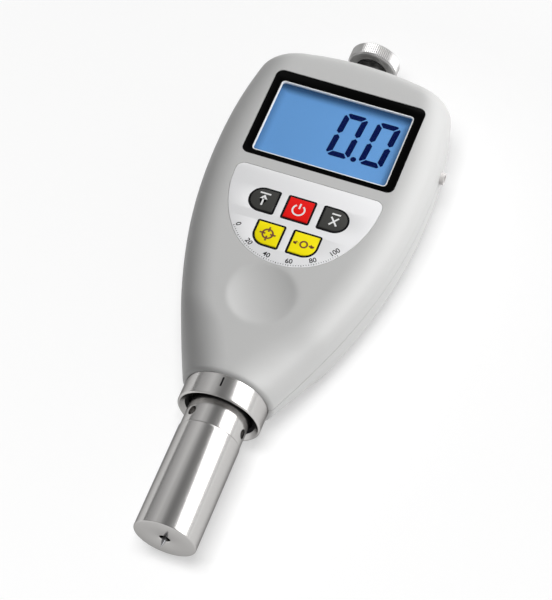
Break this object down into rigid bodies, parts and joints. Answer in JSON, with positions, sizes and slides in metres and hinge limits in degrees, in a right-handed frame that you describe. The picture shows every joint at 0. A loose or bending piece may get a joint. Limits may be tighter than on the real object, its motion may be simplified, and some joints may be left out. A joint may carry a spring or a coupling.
{
  "type": "digital hardness tester",
  "caption": "Hand-held digital hardness tester with a spring-loaded indenter in a steel foot, a display, a keypad and a knurled nut on its top stud.",
  "frame": {"origin": "centre of the presser foot's flat face, on the indenter's axis", "axes": "+X to the user's right, +Y along the indenter's axis from the foot to the knurled nut, +Z out of the display; it lies on its back at z = -16.2 mm"},
  "size_m": [0.0656, 0.1725, 0.0286],
  "materials": {
    "housing_plastic": "satin, fine texture",
    "polished_steel": "turned and polished",
    "ground_steel": "ground",
    "spring_steel": "drawn, lightly oiled",
    "brass": "turned",
    "bronze": "sintered",
    "black_plastic": "gloss",
    "moulded_black": "matt",
    "clear_pane": "clear acrylic",
    "bright_trim": "bright anodised",
    "display_glass": "lit blue",
    "backlight_plastic": "diffusing",
    "connector_rubber": "matt",
    "label_film": "printed film",
    "key_dark": "satin",
    "key_red": "satin",
    "key_yellow": "satin",
    "board_green": "solder resist",
    "chip_black": "matt",
    "switch_steel": "stamped",
    "white_plastic": "moulded",
    "copper_wire": "enamelled wire",
    "cell_jacket": "printed jacket",
    "contact_nickel": "nickel plated",
    "screw_steel": "zinc plated"
  },
  "bodies": {
    "housing": {"front_cover": "housing_plastic", "back_cover": "housing_plastic", "presser_barrel": "polished_steel", "probe_neck": "polished_steel", "collar_ring": "polished_steel", "probe_locknut": "ground_steel", "front_bush": "bronze", "rear_bush": "bronze", "spring_adjuster": "brass", "coil_former": "moulded_black", "coil_windings": "copper_wire", "keypad_label": "label_film", "key_switches": "switch_steel", "window_pane": "clear_pane", "window_bezel": "black_plastic", "window_trim": "bright_trim", "display_glass": "display_glass", "backlight": "backlight_plastic", "display_connectors": "connector_rubber", "main_board": "board_green", "board_screws": "screw_steel", "board_chips": "chip_black", "data_socket": "white_plastic", "battery_cells": "cell_jacket", "contact_plates": "contact_nickel", "contact_springs": "contact_nickel", "cover_screws": "screw_steel", "top_stud": "polished_steel", "stud_nut": "ground_steel"},
    "spindle": {"spindle": "ground_steel", "indenter": "ground_steel", "indenter_screw": "screw_steel", "sensor_core": "ground_steel", "load_spring": "spring_steel"},
    "battery_door": {"battery_door": "housing_plastic"},
    "nut_washer": {"nut_washer": "ground_steel"},
    "knurled_nut": {"knurled_nut": "polished_steel"},
    "key_peak": {"key_peak": "key_dark", "plunger_peak": "moulded_black"},
    "key_power": {"key_power": "key_red", "plunger_power": "moulded_black"},
    "key_average": {"key_average": "key_dark", "plunger_average": "moulded_black"},
    "key_calibrate": {"key_calibrate": "key_yellow", "plunger_calibrate": "moulded_black"},
    "key_zero": {"key_zero": "key_yellow", "plunger_zero": "moulded_black"}
  },
  "joints": [
    {"name": "indenter_slide", "type": "slide", "parent": "housing", "child": "spindle", "axis": [0, 1, 0], "range_m": [0, 0.0025], "stiffness_N_per_m": 17780, "deforming": ["load_spring"]},
    {"name": "key_peak_press", "type": "slide", "parent": "housing", "child": "key_peak", "axis": [0, 0, -1], "range_m": [0, 0.0003], "stiffness_N_per_m": 8000},
    {"name": "key_power_press", "type": "slide", "parent": "housing", "child": "key_power", "axis": [0, 0, -1], "range_m": [0, 0.0003], "stiffness_N_per_m": 8000},
    {"name": "key_average_press", "type": "slide", "parent": "housing", "child": "key_average", "axis": [0, 0, -1], "range_m": [0, 0.0003], "stiffness_N_per_m": 8000},
    {"name": "key_calibrate_press", "type": "slide", "parent": "housing", "child": "key_calibrate", "axis": [0, 0, -1], "range_m": [0, 0.0003], "stiffness_N_per_m": 8000},
    {"name": "key_zero_press", "type": "slide", "parent": "housing", "child": "key_zero", "axis": [0, 0, -1], "range_m": [0, 0.0003], "stiffness_N_per_m": 8000},
    {"name": "battery_door_slide", "type": "slide", "parent": "housing", "child": "battery_door", "axis": [0, 1, 0], "range_m": [0, 0.068]},
    {"name": "nut_lift", "type": "slide", "parent": "housing", "child": "nut_washer", "axis": [0, 1, 0], "range_m": [0, 0.00362]},
    {"name": "nut_turn", "type": "hinge", "parent": "nut_washer", "child": "knurled_nut", "pos_m": [0, 0.167, 0], "axis": [0, 1, 0], "range_deg": [0, 1620]}
  ],
  "couplings": [
    {"joint": "nut_lift", "follows": "nut_turn", "m_per_rad": 0.00012732}
  ]
}
